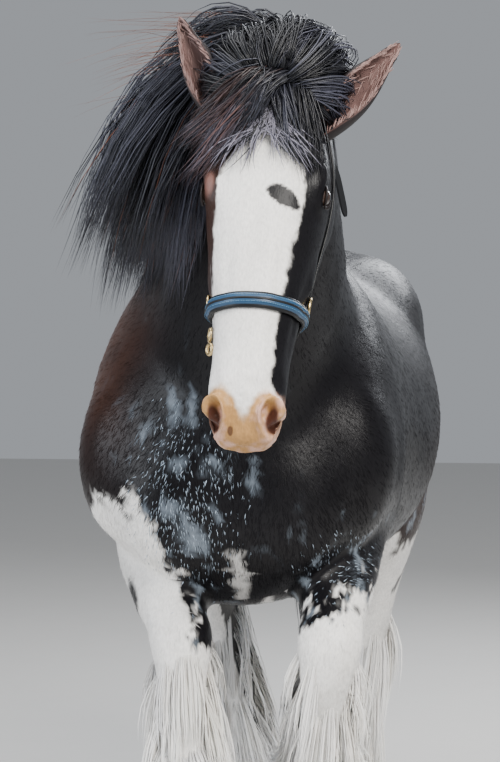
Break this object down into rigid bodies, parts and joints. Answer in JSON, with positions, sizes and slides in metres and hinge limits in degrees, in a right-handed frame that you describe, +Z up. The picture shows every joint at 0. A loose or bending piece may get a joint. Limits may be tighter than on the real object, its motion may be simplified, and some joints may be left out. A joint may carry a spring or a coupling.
{
  "type": "clydesdale horse",
  "caption": "Life-size black and white Clydesdale horse at a canter, in a blue halter, carried by a plain two-rod display stand.",
  "frame": {"origin": "centre of the stand plate's underside", "axes": "+Z up, -Y towards the horse's head, +X towards the horse's left side"},
  "size_m": [0.8424, 2.8836, 2.2036],
  "materials": {
    "coat_black": "satin",
    "coat_white": "matte",
    "face_white": "satin",
    "hair_black": "satin",
    "hoof_horn": "satin",
    "eye_brown": "gloss",
    "strap_blue": "satin",
    "strap_black": "satin",
    "stand_grey": "satin"
  },
  "bodies": {
    "root": {"torso": "coat_black", "neck": "coat_black", "head": "face_white", "ear_left": "hair_black", "ear_right": "hair_black", "eye_left": "eye_brown", "eye_right": "eye_brown", "mane": "hair_black", "forelock": "hair_black", "tail": "hair_black", "halter_noseband": "strap_blue", "halter_cheek_left": "strap_black", "halter_cheek_right": "strap_black", "halter_crown": "strap_black", "halter_chin": "strap_black", "stand_plate": "stand_grey", "stand_rod_left": "stand_grey", "stand_rod_right": "stand_grey", "fore_right_leg": "coat_white", "fore_right_cannon": "coat_white", "fore_right_fetlock": "coat_white", "fore_right_hoof": "hoof_horn", "fore_left_leg": "coat_white", "fore_left_cannon": "coat_white", "fore_left_fetlock": "coat_white", "fore_left_hoof": "hoof_horn", "hind_right_leg": "coat_black", "hind_right_cannon": "coat_white", "hind_right_fetlock": "coat_white", "hind_right_hoof": "hoof_horn", "hind_left_leg": "coat_black", "hind_left_cannon": "coat_white", "hind_left_fetlock": "coat_white", "hind_left_hoof": "hoof_horn"}
  },
  "joints": []
}
